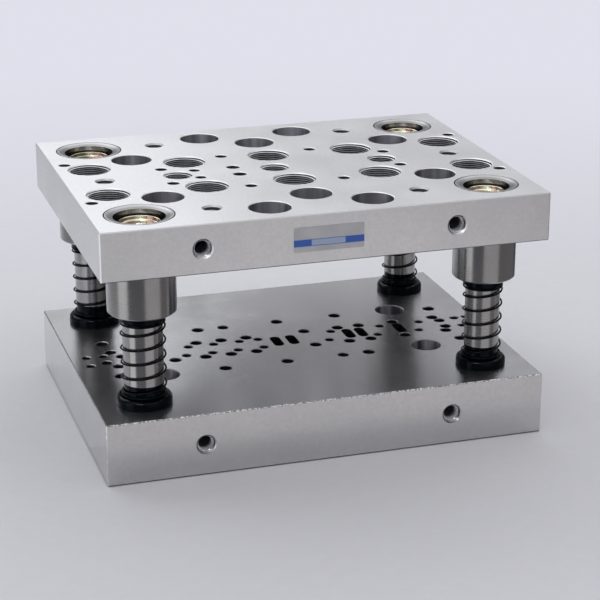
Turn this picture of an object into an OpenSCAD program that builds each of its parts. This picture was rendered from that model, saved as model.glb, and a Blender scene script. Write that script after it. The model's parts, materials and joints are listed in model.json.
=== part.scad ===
// Ball-guided press die set: two ground steel plates that run on four sprung ball-cage guide posts.
// Millimetres, +Z up, origin at the centre of the lower plate's underside.
// The set stands at its shut height: the upper plate, its bushes and the nameplate lift from here.

/* [Plates] */
// Length of both plates, along X
plate_w = 320; // [312:2:400]
// Depth of both plates, along Y
plate_d = 240; // [232:2:300]
// Thickness of the lower plate
lower_plate_t = 45; // [38:1:60]
// Thickness of the upper plate
upper_plate_t = 35; // [30:1:50]
// Clear height between the plates at shut height
plate_gap = 101; // [95:1:130]
// Chamfer along every edge of the plates
plate_chamfer = 0.8; // [0.3:0.1:2]
// Chamfer at the mouth of every plain hole
hole_chamfer = 0.5; // [0.2:0.1:1]

/* [Guide stations] */
// Distance from a plate's end to the guide post axes
post_inset_x = 34.5; // [33:0.5:40]
// Distance from a plate's front or rear face to the guide post axes
post_inset_y = 34; // [31:0.5:36]
// Diameter of the two left guide posts
left_post_d = 28; // [24:0.5:30]
// Diameter of the two right guide posts, smaller so that the plates can't be turned round
right_post_d = 25; // [22:0.5:28]
// How far the posts' feet stay above the lower plate's underside
post_recess = 2; // [1:0.5:5]
// Radial step from a post down to its foot, which seats on the collar
post_foot_step = 2; // [1:0.25:3]
// Chamfer at both ends of a post
post_chamfer = 1; // [0.5:0.1:1.5]
// Radial clearance between a foot and its bore in the lower plate
foot_clearance = 0.02; // [0.01:0.01:0.1]

/* [Guide bushes] */
// Wall of a bush
bush_wall = 6; // [5:0.25:7]
// How far the bushes stand out below the upper plate
bush_drop = 33; // [25:1:36]
// Flat land between a bush's mouth and its outer edge
bush_mouth_land = 0.9; // [0.6:0.1:1.5]
// Depth of the shallow cone at a bush's mouth
bush_mouth_depth = 1.4; // [0.5:0.1:3]
// Chamfer at a bush's lower outer edge
bush_chamfer = 1; // [0.4:0.1:1.5]
// Radial adhesive gap between a bush and the upper plate
bond_gap = 0.05; // [0.02:0.01:0.15]
// Chamfer that makes the dark groove round a bush, on the bush and on the plate
bond_groove = 0.5; // [0.2:0.1:0.8]

/* [Ball cages] */
// Diameter of the balls
ball_d = 4; // [3.5:0.1:4.5]
// Radial clearance of a ball against its post and its bush
ball_clearance = 0.05; // [0.02:0.01:0.1]
// Clearance round a ball in its pocket, on the diameter
pocket_clearance = 0.3; // [0.2:0.1:0.6]
// Radial gap between a cage and its post
cage_post_gap = 0.6; // [0.4:0.1:0.8]
// Wall of a cage
cage_wall = 2.6; // [2:0.1:2.7]
// Balls in each ring of a cage
ball_columns = 8; // [6:1:9]
// Spacing of the rings of balls
ball_row_pitch = 6; // [5.5:0.5:8]
// Turn from one ring of balls to the next, as a share of the ball spacing
ball_stagger = 0.4; // [0.1:0.1:0.9]
// Plain rim beyond the last ball centres of a cage
cage_rim = 3.4; // [3:0.1:5]
// Height of the black foot ring under a cage
foot_ring_h = 6.4; // [4:0.2:8]
// Radial gap between a foot ring and its post
foot_ring_gap = 0.4; // [0.2:0.1:0.8]
// Wall of a foot ring
foot_ring_wall = 1.6; // [1.4:0.1:2]
// How far the upper plate opens from its shut height
open_travel = 30; // [20:1:32]
// Free height left between a cage and its stop cap when the set is open
cage_stop_gap = 2; // [1:0.5:4]

/* [Cage springs] */
// Diameter of the spring wire
spring_wire = 1.35; // [1:0.05:1.6]
// Radial gap between a spring and its post
spring_gap = 0.65; // [0.5:0.05:0.8]
// Active turns of a spring
spring_active_turns = 4.8; // [4:0.1:7]
// Closed turns at each end of a spring
spring_closed_turns = 1; // [0.5:0.25:1.5]
// Gap between a spring's end and its seat
spring_seat_gap = 0.05; // [0.02:0.01:0.2]
// Heading of the front left spring's lower end, anticlockwise from +X
front_left_spring_start = 151; // [0:1:359]
// Heading of the front right spring's lower end
front_right_spring_start = 106; // [0:1:359]
// Heading of the rear left spring's lower end
rear_left_spring_start = 305; // [0:1:359]
// Heading of the rear right spring's lower end
rear_right_spring_start = 145; // [0:1:359]

/* [Post collars] */
// Radial overhang of a collar's flange beyond its post
collar_overhang = 5.5; // [4:0.25:7]
// Height of a collar's flange, the spring's seat
collar_flange_h = 7; // [5:0.5:10]
// Height of a whole collar
collar_h = 16; // [14:0.5:20]
// Rounding of the flange's upper edge
collar_round = 3; // [0.5:0.25:3.25]
// Radial step from a post in to its collar's sleeve
collar_sleeve_step = 0.2; // [0.1:0.05:0.4]
// Height of the cone that widens the sleeve towards the flange
collar_cone_h = 3.5; // [2:0.5:6]
// Radial growth of that cone
collar_cone_out = 0.6; // [0.2:0.1:0.7]
// Radial clearance between a collar and the post's foot
collar_clearance = 0.05; // [0.02:0.01:0.1]

/* [Stop caps] */
// Depth of a cap's rim below the upper plate's top at shut height
cap_drop = 5; // [5:0.5:12]
// Radial overhang of a cap beyond its post
cap_overhang = 0.8; // [0.7:0.05:1.2]
// Height of a cap
cap_h = 4; // [3:0.25:6]
// Floor of a cap
cap_floor = 1; // [0.6:0.1:1.5]
// Wall of a cap
cap_wall = 1; // [0.6:0.1:1.5]
// Nominal thread of the cap screw
cap_screw_d = 4; // [3:0.5:5]
// Length of the cap screw below its head
cap_screw_len = 10; // [8:1:16]
// Diameter of the cap screw's button head
cap_screw_head_d = 7.6; // [7:0.1:10]
// Height of the cap screw's button head
cap_screw_head_h = 2.2; // [1.6:0.1:2.8]
// Socket of the cap screw, across flats
cap_screw_socket = 2.5; // [2:0.1:3]
// Lead-in chamfer at the cap screw's end
cap_screw_lead = 0.4; // [0.2:0.1:0.8]
// Radial clearance round the cap screw
cap_screw_clearance = 0.1; // [0.05:0.05:0.2]

/* [Upper plate holes] */
// Diameter of the plain through holes
plain_hole_d = 29.5; // [24:0.5:31]
// Plain holes near the front and rear faces, half spacing along X
plain_outer_x = 37; // [34:0.5:40]
// Plain holes near the front and rear faces, half spacing along Y
plain_outer_y = 96; // [92:0.5:98]
// Plain holes on the centre line, half spacing along Y
plain_centre_y = 72; // [69:0.5:76]
// Plain holes beside the posts, half spacing along X
plain_side_x = 100.5; // [98:0.5:103]
// Plain holes beside the posts, half spacing along Y
plain_side_y = 50.5; // [48:0.5:52]
// Major diameter of the large tapped holes for spring plugs
plug_hole_d = 30; // [24:0.5:31]
// Chamfer at the large tapped holes
plug_chamfer = 0.8; // [0.4:0.1:1.2]
// Inner large tapped holes, half spacing along X
plug_inner_x = 64.5; // [62:0.5:66]
// Outer large tapped holes, half spacing along X
plug_outer_x = 135.5; // [134:0.5:137]
// All large tapped holes, half spacing along Y
plug_y = 33.5; // [33:0.5:36]
// Major diameter of the middle tapped holes
shank_hole_d = 20; // [16:0.5:22]
// Middle tapped holes, half spacing along X
shank_x = 77.5; // [75:0.5:80]
// Middle tapped hole near the centre, place along X
shank_centre_x = -5; // [-8:0.5:8]
// Major diameter of the small tapped holes
screw_hole_d = 12; // [8:0.5:14]
// Chamfer at the small tapped holes
screw_chamfer = 1.2; // [0.4:0.1:1.5]
// Small tapped holes near the faces, half spacing along X
screw_x = 75; // [72:0.5:78]
// Small tapped holes near the faces, half spacing along Y
screw_y = 86; // [82:0.5:92]
// Small tapped holes on the middle line, half spacing along X
screw_middle_x = 131; // [128:0.5:136]
// Diameter of the small dowel holes
dowel_hole_d = 8.5; // [6:0.5:10]
// Outer dowel holes, half spacing along X
dowel_outer_x = 150.5; // [148:0.5:151]
// Outer dowel holes, half spacing along Y
dowel_outer_y = 50.5; // [46:0.5:52]
// Inner dowel holes, half spacing along X
dowel_inner_x = 34.5; // [32:0.5:36]
// Inner dowel holes, half spacing along Y
dowel_inner_y = 41; // [38:0.5:44]
// Middle dowel holes, half spacing along X
dowel_middle_x = 85.5; // [84:0.5:90]
// Middle dowel holes, half spacing along Y
dowel_middle_y = 19; // [18:0.5:20]
// Diameter of the two pilot holes beside the left middle tapped hole
pilot_hole_d = 7.7; // [5:0.1:9]
// Those pilot holes, place along X
pilot_x = -63; // [-64:0.5:-60]
// Diameter of the two reamed holes beside the centre
reamed_hole_d = 9.6; // [6:0.1:11]
// Those reamed holes, place along X
reamed_x = -34; // [-38:0.5:-30]
// Both pairs, half spacing along Y
pair_y = 9.5; // [7:0.5:12]

/* [Lower plate holes] */
// Diameter of the four large holes
bolster_hole_d = 22; // [16:0.5:24]
// Large holes, half spacing along X
bolster_x = 100.5; // [98:0.5:104]
// Large holes, half spacing along Y
bolster_y = 40.5; // [38:0.5:44]
// Diameter of the locating holes
locating_hole_d = 8.8; // [6:0.2:10]
// Locating holes, half spacing along X
locating_x = 55; // [50:0.5:60]
// Locating holes, half spacing along Y
locating_y = 41; // [36:0.5:48]
// Inner locating holes, place along X of the rear one
locating_inner_x = 8; // [6:0.5:12]
// Diameter of the second pair of locating holes
second_hole_d = 8; // [6:0.2:9]
// Second pair, place along X of the front one
second_x = 35; // [30:0.5:40]
// Diameter of the four end holes
end_hole_d = 9; // [6:0.2:11]
// End holes, half spacing along X
end_hole_x = 131; // [126:0.5:138]
// End holes, half spacing along Y
end_hole_y = 34; // [30:0.5:40]
// Diameter of the outer row of piercing holes
pierce_outer_d = 8.4; // [5:0.2:9]
// Outer rows, half spacing along Y
pierce_outer_y = 14.8; // [14.2:0.2:18]
// Diameter of the inner row of piercing holes
pierce_inner_d = 6.6; // [4:0.2:7]
// Inner rows, half spacing along Y
pierce_inner_y = 8.4; // [7:0.2:8.6]
// Diameter of the six holes on the middle line
middle_hole_d = 8; // [5:0.2:8.4]
// Width of the slots
slot_w = 7.8; // [5:0.2:8]
// Length of the slots, ends included
slot_len = 19.6; // [12:0.2:20]

/* [Lifting holes] */
// Major diameter of the tapped lifting holes in the front and rear faces
lift_hole_d = 12; // [8:0.5:14]
// Depth of the lifting holes
lift_hole_depth = 25; // [15:1:28]
// Chamfer at the lifting holes
lift_chamfer = 1.3; // [0.5:0.1:1.5]
// Lifting holes in the front face, half spacing along X
lift_front_x = 90.5; // [86:0.5:92]
// Lifting holes in the rear face, half spacing along X
lift_rear_x = 92; // [86:0.5:95]

/* [Nameplate] */
// Length of the nameplate
nameplate_w = 50; // [30:1:60]
// Height of the nameplate
nameplate_h = 17.5; // [10:0.5:22]
// Thickness of the nameplate
nameplate_t = 0.3; // [0.2:0.1:0.6]
// Corner radius of the nameplate
nameplate_r = 0.8; // [0.3:0.1:2]
// Place of the nameplate's middle along X
nameplate_x = -2.5; // [-30:0.5:30]

/* [Hidden] */
$fn = 64;
over = 1;                       // how far a cutter runs past a face
drill_point_angle = 31;         // slope of a blind hole's end, half of 62 degrees off flat
spring_sides = 8;               // faces round the spring wire
spring_steps = 24;              // rings of points in one turn of a spring
arc_steps = 6;                  // chords in a rounded edge
head_edge_angle = 15;           // where the screw head's dome starts, up from its rim

post_x = plate_w / 2 - post_inset_x;
post_y = plate_d / 2 - post_inset_y;
lower_top = lower_plate_t;
upper_bottom = lower_top + plate_gap;
upper_top = upper_bottom + upper_plate_t;
bush_bottom = upper_bottom - bush_drop;
cap_top = upper_top - cap_drop;
post_top = cap_top - cap_h;
collar_flange_top = lower_top + collar_flange_h;
collar_top = lower_top + collar_h;
cage_bottom = bush_bottom;
cage_top = post_top - open_travel / 2 - cage_stop_gap;
foot_ring_bottom = cage_bottom - foot_ring_h;
ball_rows = floor((cage_top - cage_bottom - 2 * cage_rim) / ball_row_pitch) + 1;
first_row_z = (cage_bottom + cage_top - (ball_rows - 1) * ball_row_pitch) / 2;
spring_bottom = collar_flange_top + spring_seat_gap;
spring_height = foot_ring_bottom - spring_seat_gap - spring_bottom;
spring_pitch = (spring_height - (1 + 2 * spring_closed_turns) * spring_wire) / spring_active_turns;
spring_turns = spring_active_turns + 2 * spring_closed_turns;

// Rows of piercing holes and slots across the lower plate, places along X
pierce_outer_row = [-128.5, -63, -43.5, -24, 22, 49, 66, 93.5, 126.5];
pierce_outer_front_x = -86;
pierce_rear_row = [-148, -135.5, -70.5, -51, -31, -16.5, 41.5, 81, 113, 142.5, 152];
pierce_front_row = [-148, -76, -56, -36.5, -16.5, 35, 74, 107, 142.5];
middle_left_holes = [[-122.5, 4], [-135.5, -5]];
middle_right_holes = [[129.5, 6.5], [129.5, -6.5]];
slot_row = [-4, 8, 53, 63, 94];

// Guide stations: name, side along X, side along Y, heading of the spring's lower end
STATIONS = [
    ["front_left", -1, -1, front_left_spring_start],
    ["front_right", 1, -1, front_right_spring_start],
    ["rear_left", -1, 1, rear_left_spring_start],
    ["rear_right", 1, 1, rear_right_spring_start]
];
STATION_PARTS = [
    "guide_post", "post_collar", "guide_bush", "ball_cage", "cage_balls",
    "cage_foot_ring", "cage_spring", "stop_cap", "stop_cap_screw"
];

function post_r(s) = (s[1] < 0 ? left_post_d : right_post_d) / 2;
function bush_bore_r(s) = post_r(s) + ball_d;
function bush_r(s) = bush_bore_r(s) + bush_wall;
function foot_r(s) = post_r(s) - post_foot_step;
function cage_inner_r(s) = post_r(s) + cage_post_gap;
function cage_outer_r(s) = cage_inner_r(s) + cage_wall;
function foot_ring_inner_r(s) = post_r(s) + foot_ring_gap;
function foot_ring_outer_r(s) = foot_ring_inner_r(s) + foot_ring_wall;
function spring_r(s) = post_r(s) + spring_gap + spring_wire / 2;
// Points of an arc about a centre, for the outlines of turned parts
function arc(centre, r, from, to) =
    [for (i = [0:arc_steps]) let (a = from + (to - from) * i / arc_steps) centre + r * [cos(a), sin(a)]];

// ---- Places and cutters ----

module at_station(s) translate([s[1] * post_x, s[2] * post_y, 0]) children();

module at_corners(x, y) for (sx = [-1, 1], sy = [-1, 1]) translate([sx * x, sy * y, 0]) children();

module at_ends(x) for (sx = [-1, 1]) translate([sx * x, 0, 0]) children();

module at_faces(y) for (sy = [-1, 1]) translate([0, sy * y, 0]) children();

// A turned solid from its half outline
module turned(outline) rotate_extrude() polygon(outline);

// A drill that cuts right through a plate, with its chamfers
module through_drill(d, t, chamfer) turned([
    [0, -over],
    [d / 2 + chamfer + over, -over],
    [d / 2, chamfer],
    [d / 2, t - chamfer],
    [d / 2 + chamfer + over, t + over],
    [0, t + over]
]);

// A blind drill that enters at z = 0 and goes down, with its chamfer and point
module blind_drill(d, depth, chamfer) turned([
    [0, over],
    [d / 2 + chamfer + over, over],
    [d / 2, -chamfer],
    [d / 2, -depth],
    [0, -depth - d / 2 * tan(drill_point_angle)]
]);

module chamfered_rectangle(w, h, c) polygon([
    [-w / 2 + c, -h / 2], [w / 2 - c, -h / 2], [w / 2, -h / 2 + c], [w / 2, h / 2 - c],
    [w / 2 - c, h / 2], [-w / 2 + c, h / 2], [-w / 2, h / 2 - c], [-w / 2, -h / 2 + c]
]);

// A ground plate with its underside at z = 0
module plate_block(t) intersection() {
    translate([0, 0, -over])
        linear_extrude(t + 2 * over) chamfered_rectangle(plate_w, plate_d, plate_chamfer);
    translate([0, 0, t / 2]) rotate([90, 0, 0])
        linear_extrude(plate_d + 2 * over, center = true) chamfered_rectangle(plate_w, t, plate_chamfer);
    translate([0, 0, t / 2]) rotate([90, 0, 90])
        linear_extrude(plate_w + 2 * over, center = true) chamfered_rectangle(plate_d, t, plate_chamfer);
}

// Tapped lifting holes at half height in a plate's front and rear faces
module lifting_drills(t) for (face = [[0, lift_front_x], [180, lift_rear_x]])
    rotate([0, 0, face[0]]) at_ends(face[1])
        translate([0, -plate_d / 2, t / 2]) rotate([90, 0, 0])
            blind_drill(lift_hole_d, lift_hole_depth, lift_chamfer);

// A round-ended slot along Y, cut right through
module slot_cutter(t) translate([0, 0, -over]) linear_extrude(t + 2 * over) {
    square([slot_w, slot_len - slot_w], center = true);
    at_faces((slot_len - slot_w) / 2) circle(d = slot_w);
}

// ---- Plates ----

module lower_plate_drills(t) {
    at_corners(bolster_x, bolster_y) through_drill(bolster_hole_d, t, hole_chamfer);
    at_corners(locating_x, locating_y) through_drill(locating_hole_d, t, hole_chamfer);
    for (sy = [-1, 1]) {
        translate([sy * locating_inner_x, sy * locating_y, 0])
            through_drill(locating_hole_d, t, hole_chamfer);
        translate([-sy * second_x, sy * locating_y, 0])
            through_drill(second_hole_d, t, hole_chamfer);
    }
    at_corners(end_hole_x, end_hole_y) through_drill(end_hole_d, t, hole_chamfer);
    for (x = pierce_outer_row) at_faces(pierce_outer_y) translate([x, 0, 0])
        through_drill(pierce_outer_d, t, hole_chamfer);
    translate([pierce_outer_front_x, -pierce_outer_y, 0]) through_drill(pierce_outer_d, t, hole_chamfer);
    for (x = pierce_rear_row) translate([x, pierce_inner_y, 0])
        through_drill(pierce_inner_d, t, hole_chamfer);
    for (x = pierce_front_row) translate([x, -pierce_inner_y, 0])
        through_drill(pierce_inner_d, t, hole_chamfer);
    for (place = concat(middle_left_holes, middle_right_holes)) translate(place)
        through_drill(middle_hole_d, t, hole_chamfer);
    for (x = slot_row) translate([x, 0, 0]) slot_cutter(t);
}

module upper_plate_drills(t) {
    at_corners(plain_outer_x, plain_outer_y) through_drill(plain_hole_d, t, hole_chamfer);
    at_faces(plain_centre_y) through_drill(plain_hole_d, t, hole_chamfer);
    at_corners(plain_side_x, plain_side_y) through_drill(plain_hole_d, t, hole_chamfer);
    at_corners(plug_inner_x, plug_y) through_drill(plug_hole_d, t, plug_chamfer);
    at_corners(plug_outer_x, plug_y) through_drill(plug_hole_d, t, plug_chamfer);
    at_faces(plug_y) through_drill(plug_hole_d, t, plug_chamfer);
    at_ends(shank_x) through_drill(shank_hole_d, t, plug_chamfer);
    translate([shank_centre_x, 0, 0]) through_drill(shank_hole_d, t, plug_chamfer);
    at_corners(screw_x, screw_y) through_drill(screw_hole_d, t, screw_chamfer);
    at_ends(screw_middle_x) through_drill(screw_hole_d, t, screw_chamfer);
    at_corners(dowel_outer_x, dowel_outer_y) through_drill(dowel_hole_d, t, hole_chamfer);
    at_corners(dowel_inner_x, dowel_inner_y) through_drill(dowel_hole_d, t, hole_chamfer);
    at_corners(dowel_middle_x, dowel_middle_y) through_drill(dowel_hole_d, t, hole_chamfer);
    at_faces(pair_y) {
        translate([pilot_x, 0, 0]) through_drill(pilot_hole_d, t, hole_chamfer);
        translate([reamed_x, 0, 0]) through_drill(reamed_hole_d, t, hole_chamfer);
    }
}

module lower_plate() color("#a9abae") difference() {
    plate_block(lower_plate_t);
    for (s = STATIONS) at_station(s)
        through_drill(2 * (foot_r(s) + foot_clearance), lower_plate_t, hole_chamfer);
    lower_plate_drills(lower_plate_t);
    lifting_drills(lower_plate_t);
}

module upper_plate() color("#c4c5c8") translate([0, 0, upper_bottom]) difference() {
    plate_block(upper_plate_t);
    for (s = STATIONS) at_station(s)
        through_drill(2 * (bush_r(s) + bond_gap), upper_plate_t, bond_groove);
    upper_plate_drills(upper_plate_t);
    lifting_drills(upper_plate_t);
}

module nameplate() color("#5f8fc4")
    translate([nameplate_x, -plate_d / 2, upper_bottom + upper_plate_t / 2]) rotate([90, 0, 0])
        linear_extrude(nameplate_t) {
            square([nameplate_w - 2 * nameplate_r, nameplate_h], center = true);
            square([nameplate_w, nameplate_h - 2 * nameplate_r], center = true);
            at_corners(nameplate_w / 2 - nameplate_r, nameplate_h / 2 - nameplate_r)
                circle(nameplate_r);
        }

// ---- Posts and what they carry ----

// A ground post: its foot is pressed into the lower plate and its shoulder sits on the collar
module guide_post(s) color("#b9b8ba") at_station(s) turned([
    [0, post_recess],
    [foot_r(s) - post_chamfer, post_recess],
    [foot_r(s), post_recess + post_chamfer],
    [foot_r(s), collar_top],
    [post_r(s), collar_top],
    [post_r(s), post_top - post_chamfer],
    [post_r(s) - post_chamfer, post_top],
    [cap_screw_d / 2 + cap_screw_clearance, post_top],
    [cap_screw_d / 2 + cap_screw_clearance, post_top - cap_screw_len],
    [0, post_top - cap_screw_len - cap_screw_d / 2]
]);

// A black flanged collar: the seat of the spring and of the post's shoulder
module post_collar(s) color("#17191d") at_station(s) {
    bore_r = foot_r(s) + collar_clearance;
    flange_r = post_r(s) + collar_overhang;
    sleeve_r = post_r(s) - collar_sleeve_step;
    turned(concat(
        [[bore_r, lower_top], [flange_r - hole_chamfer, lower_top], [flange_r, lower_top + hole_chamfer]],
        arc([flange_r - collar_round, collar_flange_top - collar_round], collar_round, 0, 90),
        [
            [sleeve_r + collar_cone_out, collar_flange_top],
            [sleeve_r + collar_cone_out, collar_flange_top + hole_chamfer],
            [sleeve_r, collar_flange_top + collar_cone_h],
            [sleeve_r, collar_top],
            [bore_r, collar_top]
        ]
    ));
}

// A dished brass cap that keeps the ball cage on the post
module stop_cap(s) color("#c9a85a") at_station(s) {
    outer_r = post_r(s) + cap_overhang;
    turned(concat(
        [
            [cap_screw_d / 2 + cap_screw_clearance, post_top],
            [outer_r - cap_floor / 2, post_top],
            [outer_r, post_top + cap_floor / 2]
        ],
        arc([outer_r - cap_wall / 2, cap_top - cap_wall / 2], cap_wall / 2, 0, 180),
        arc([outer_r - 2 * cap_wall, post_top + cap_floor + cap_wall], cap_wall, 0, -90),
        [[cap_screw_d / 2 + cap_screw_clearance, post_top + cap_floor]]
    ));
}

// A button-head socket screw that holds the cap
module stop_cap_screw(s) color("#d5d6d9") at_station(s) translate([0, 0, post_top + cap_floor])
    difference() {
        turned(concat(
            [
                [0, -cap_screw_len],
                [cap_screw_d / 2 - cap_screw_lead, -cap_screw_len],
                [cap_screw_d / 2, cap_screw_lead - cap_screw_len],
                [cap_screw_d / 2, 0],
                [cap_screw_head_d / 2, 0]
            ],
            [for (i = [0:arc_steps])
                let (a = head_edge_angle + (90 - head_edge_angle) * i / arc_steps)
                [cap_screw_head_d / 2 * cos(a) / cos(head_edge_angle),
                 cap_screw_head_h * (sin(a) - sin(head_edge_angle)) / (1 - sin(head_edge_angle))]]
        ));
        translate([0, 0, cap_screw_head_h / 2])
            cylinder(h = cap_screw_head_h, d = cap_screw_socket / cos(30), $fn = 6);
    }

// ---- Bush, cage and spring ----

// A ground bush, bonded into the upper plate flush with its top
module guide_bush(s) color("#b4b5b8") at_station(s) {
    bore_r = bush_bore_r(s);
    outer_r = bush_r(s);
    turned([
        [bore_r + hole_chamfer, bush_bottom],
        [outer_r - bush_chamfer, bush_bottom],
        [outer_r, bush_bottom + bush_chamfer],
        [outer_r, upper_top - bond_groove],
        [outer_r - bond_groove, upper_top],
        [outer_r - bond_groove - bush_mouth_land, upper_top],
        [bore_r, upper_top - bush_mouth_depth],
        [bore_r, bush_bottom + hole_chamfer]
    ]);
}

// Headings and heights of the balls: each ring is turned against the one below it,
// so that every ball runs on its own track
module at_balls() for (row = [0:ball_rows - 1], column = [0:ball_columns - 1])
    translate([0, 0, first_row_z + row * ball_row_pitch])
        rotate([0, 0, 360 * (column + row * ball_stagger) / ball_columns])
            children();

// A brass tube with a drilled pocket for each ball
module ball_cage(s) color("#c8a24c") at_station(s) difference() {
    turned([
        [cage_inner_r(s), cage_bottom], [cage_outer_r(s), cage_bottom],
        [cage_outer_r(s), cage_top], [cage_inner_r(s), cage_top]
    ]);
    at_balls() translate([cage_inner_r(s) - over, 0, 0]) rotate([0, 90, 0])
        cylinder(h = cage_wall + 2 * over, d = ball_d + pocket_clearance);
}

// The hardened balls that roll between post and bush
module cage_balls(s) color("#dfe1e4") at_station(s)
    at_balls() translate([post_r(s) + ball_d / 2, 0, 0]) sphere(ball_d / 2 - ball_clearance);

// The black ring under a cage, which the spring lifts
module cage_foot_ring(s) color("#17191d") at_station(s) turned([
    [foot_ring_inner_r(s), foot_ring_bottom],
    [foot_ring_outer_r(s) - hole_chamfer, foot_ring_bottom],
    [foot_ring_outer_r(s), foot_ring_bottom + hole_chamfer],
    [foot_ring_outer_r(s), cage_bottom],
    [foot_ring_inner_r(s), cage_bottom]
]);

// Height of the wire's centre after so many turns: closed turns lie wire on wire
function coil_rise(turns) =
    spring_wire * min(turns, spring_closed_turns)
    + spring_pitch * max(0, min(turns - spring_closed_turns, spring_active_turns))
    + spring_wire * max(0, turns - spring_closed_turns - spring_active_turns);

// A right-hand compression spring with closed ends, swept as a tube along its coil
module cage_spring(s) color("#1b1d21") at_station(s) {
    rings = round(spring_turns * spring_steps);
    points = [for (i = [0:rings], j = [0:spring_sides - 1])
        let (turns = spring_turns * i / rings,
             heading = s[3] + 360 * turns,
             around = 360 * j / spring_sides,
             r = spring_r(s) + spring_wire / 2 * cos(around),
             z = spring_bottom + spring_wire / 2 + coil_rise(turns) + spring_wire / 2 * sin(around))
        [r * cos(heading), r * sin(heading), z]];
    sides = [for (i = [0:rings - 1], j = [0:spring_sides - 1])
        let (a = i * spring_sides + j,
             b = i * spring_sides + (j + 1) % spring_sides)
        each [[a, b, a + spring_sides], [b, b + spring_sides, a + spring_sides]]];
    start = [for (j = [spring_sides - 1:-1:0]) j];
    end = [for (j = [0:spring_sides - 1]) rings * spring_sides + j];
    polyhedron(points, concat(sides, [start, end]));
}

lower_plate();
upper_plate();
nameplate();
for (s = STATIONS) {
    guide_post(s);
    post_collar(s);
    guide_bush(s);
    ball_cage(s);
    cage_balls(s);
    cage_foot_ring(s);
    cage_spring(s);
    stop_cap(s);
    stop_cap_screw(s);
}
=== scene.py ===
import json
import math

import bpy
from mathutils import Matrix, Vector


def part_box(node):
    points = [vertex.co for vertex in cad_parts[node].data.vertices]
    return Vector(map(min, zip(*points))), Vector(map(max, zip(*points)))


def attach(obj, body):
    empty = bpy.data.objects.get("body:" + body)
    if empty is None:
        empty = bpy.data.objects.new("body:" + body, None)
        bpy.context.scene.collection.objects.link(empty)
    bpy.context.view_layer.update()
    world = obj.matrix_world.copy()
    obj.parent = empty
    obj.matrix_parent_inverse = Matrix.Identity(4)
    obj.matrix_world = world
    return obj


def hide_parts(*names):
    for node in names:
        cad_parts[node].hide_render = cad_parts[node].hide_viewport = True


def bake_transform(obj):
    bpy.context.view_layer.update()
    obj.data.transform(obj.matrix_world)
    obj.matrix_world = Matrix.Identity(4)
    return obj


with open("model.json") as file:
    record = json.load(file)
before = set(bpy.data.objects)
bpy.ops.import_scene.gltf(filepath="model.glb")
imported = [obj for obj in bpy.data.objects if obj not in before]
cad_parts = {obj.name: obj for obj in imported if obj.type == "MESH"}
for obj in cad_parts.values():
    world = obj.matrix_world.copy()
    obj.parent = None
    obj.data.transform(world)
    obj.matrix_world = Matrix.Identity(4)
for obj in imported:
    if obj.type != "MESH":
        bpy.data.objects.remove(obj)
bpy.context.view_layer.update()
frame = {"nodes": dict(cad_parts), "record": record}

MM = 0.001
STATIONS = ("front_left", "front_right", "rear_left", "rear_right")


# ---- Places, read off the frame ----

LIFTING_X = 91.2 * MM            # the front and rear lifting holes lie within a millimetre of this
LIFTING_REACH = 6.8 * MM         # takes in their walls
LIFTING_DARK_FROM = 1.2 * MM     # depths between which their walls darken with painted shade
LIFTING_DARK_AT = 3.2 * MM
# depths between which the lifting holes' threads darken with painted shade
LIFTING_THREAD_DARK_FROM = 6.0 * MM
LIFTING_THREAD_DARK_AT = 10.0 * MM
SEAM_HALF_WIDTH = 0.36 * MM      # of the dark joint line round a bush
SEAM_DEPTH = 0.7 * MM
LIP_FROM = 2.4 * MM              # distances in from a bush's rim over which its end face darkens with painted shade
LIP_TO = 4.2 * MM


def middle_of(node):
    low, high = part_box(node)
    return (low + high) / 2


def radius_of(node):
    low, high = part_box(node)
    return (high.x - low.x) / 2


LOWER_LOW, LOWER_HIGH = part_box("lower_plate")
UPPER_LOW, UPPER_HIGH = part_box("upper_plate")
PLATE_NAME_LOW, PLATE_NAME_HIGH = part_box("nameplate")
BUSH_AXIS = middle_of("guide_bush_rear_right")
BUSH_RADIUS_LEFT = radius_of("guide_bush_rear_left")
BUSH_RADIUS_RIGHT = radius_of("guide_bush_rear_right")


# ---- Modelling by hand ----

def deselect_everything():
    if bpy.context.object is not None and bpy.context.object.mode != "OBJECT":
        bpy.ops.object.mode_set(mode="OBJECT")
    bpy.ops.object.select_all(action="DESELECT")


def take_up(piece):
    """Makes a piece the only one selected."""
    deselect_everything()
    piece.select_set(True)
    bpy.context.view_layer.objects.active = piece


def settle(piece):
    """Puts a piece's place and turn into its mesh."""
    take_up(piece)
    bpy.ops.object.transform_apply(location=True, rotation=True, scale=True)


def turn_up(piece, turns, rings_per_turn, rise):
    """Sweeps a flat outline in the XZ plane up a right-hand helix about Z, and closes its ends."""
    take_up(piece)
    screw = piece.modifiers.new("helix", "SCREW")
    screw.axis = "Z"
    screw.angle = 2 * math.pi * turns
    screw.screw_offset = rise
    screw.iterations = 1
    screw.steps = round(turns * rings_per_turn)
    screw.render_steps = screw.steps
    screw.use_merge_vertices = False
    screw.use_smooth_shade = True
    bpy.ops.object.modifier_apply(modifier=screw.name)
    bpy.ops.object.mode_set(mode="EDIT")
    bpy.ops.mesh.select_all(action="SELECT")
    bpy.ops.mesh.fill_holes(sides=0)
    bpy.ops.mesh.select_all(action="SELECT")
    bpy.ops.mesh.normals_make_consistent(inside=False)
    bpy.ops.object.mode_set(mode="OBJECT")


def copy_to(piece, name, place, turn=(0, 0, 0)):
    """A copy with its own mesh, settled at its place."""
    copy = piece.copy()
    copy.data = piece.data.copy()
    copy.name = copy.data.name = name
    bpy.context.scene.collection.objects.link(copy)
    copy.location = place
    copy.rotation_euler = turn
    settle(copy)
    return copy


def discard(piece):
    bpy.data.objects.remove(piece, do_unlink=True)


# ---- Threads in the tapped holes ----

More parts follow.
